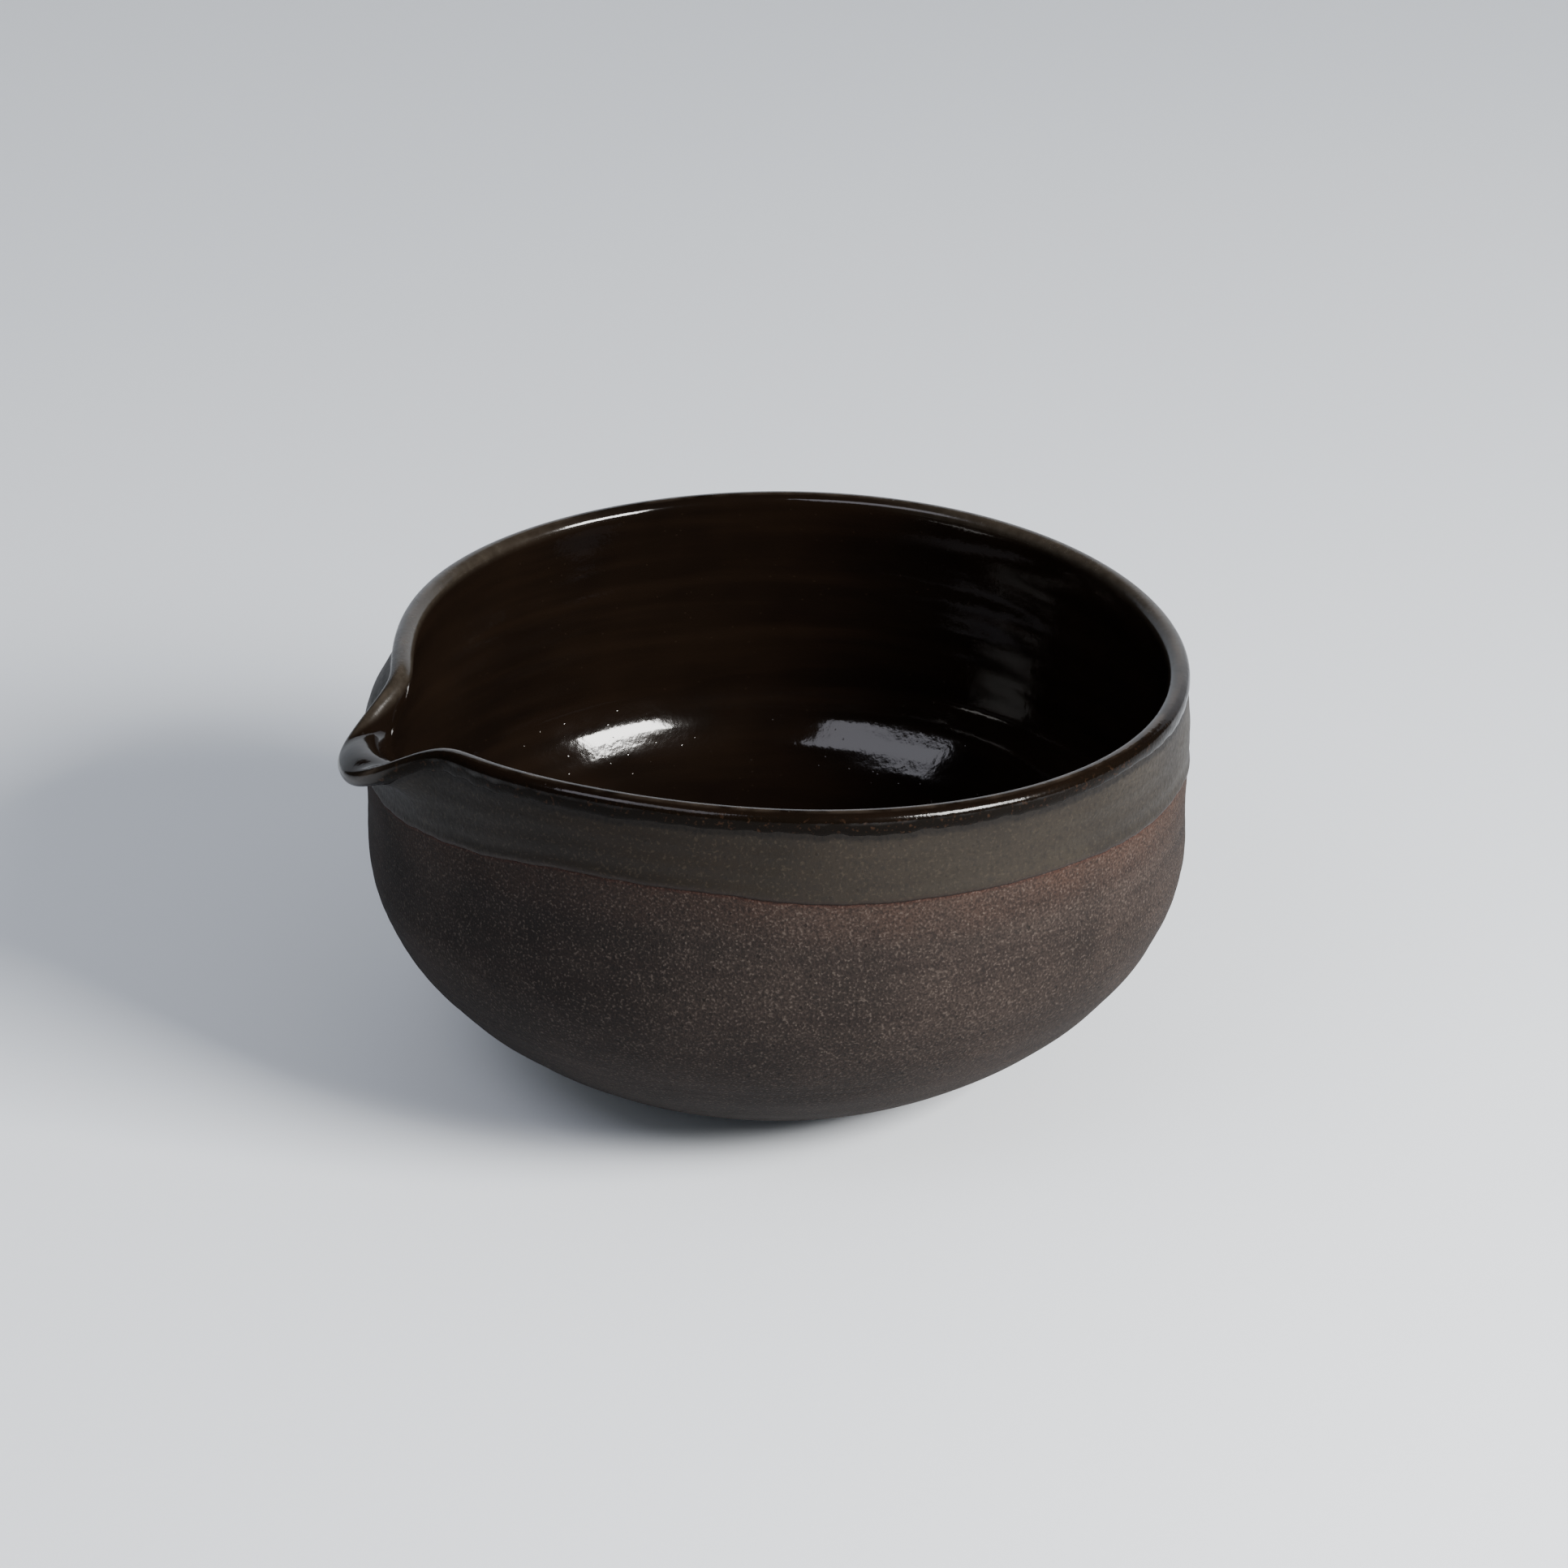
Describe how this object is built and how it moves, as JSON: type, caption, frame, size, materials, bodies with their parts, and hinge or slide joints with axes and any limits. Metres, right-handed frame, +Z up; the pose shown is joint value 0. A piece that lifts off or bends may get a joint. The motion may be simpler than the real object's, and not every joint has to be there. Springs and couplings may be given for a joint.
{
  "type": "spouted sake pouring bowl",
  "caption": "Low hand-thrown stoneware pouring bowl with a spout pulled from the rim, dark glaze inside and over the lip, and a bare clay belly.",
  "frame": {"origin": "centre of the foot ring's resting plane", "axes": "+Z up, -X the way the spout pours, +Y to the left of someone facing the way it pours from behind"},
  "size_m": [0.1383, 0.1306, 0.0712],
  "materials": {
    "bare_clay": "matte unglazed iron-bearing stoneware",
    "dark_glaze": "gloss brown-black glaze",
    "olive_glaze": "satin olive-brown thin glaze"
  },
  "bodies": {
    "root": {"belly": "bare_clay", "rim": "bare_clay", "spout": "bare_clay", "foot_ring": "bare_clay", "inner_glaze": "dark_glaze", "lip_glaze": "dark_glaze", "band_glaze": "olive_glaze"}
  },
  "joints": []
}
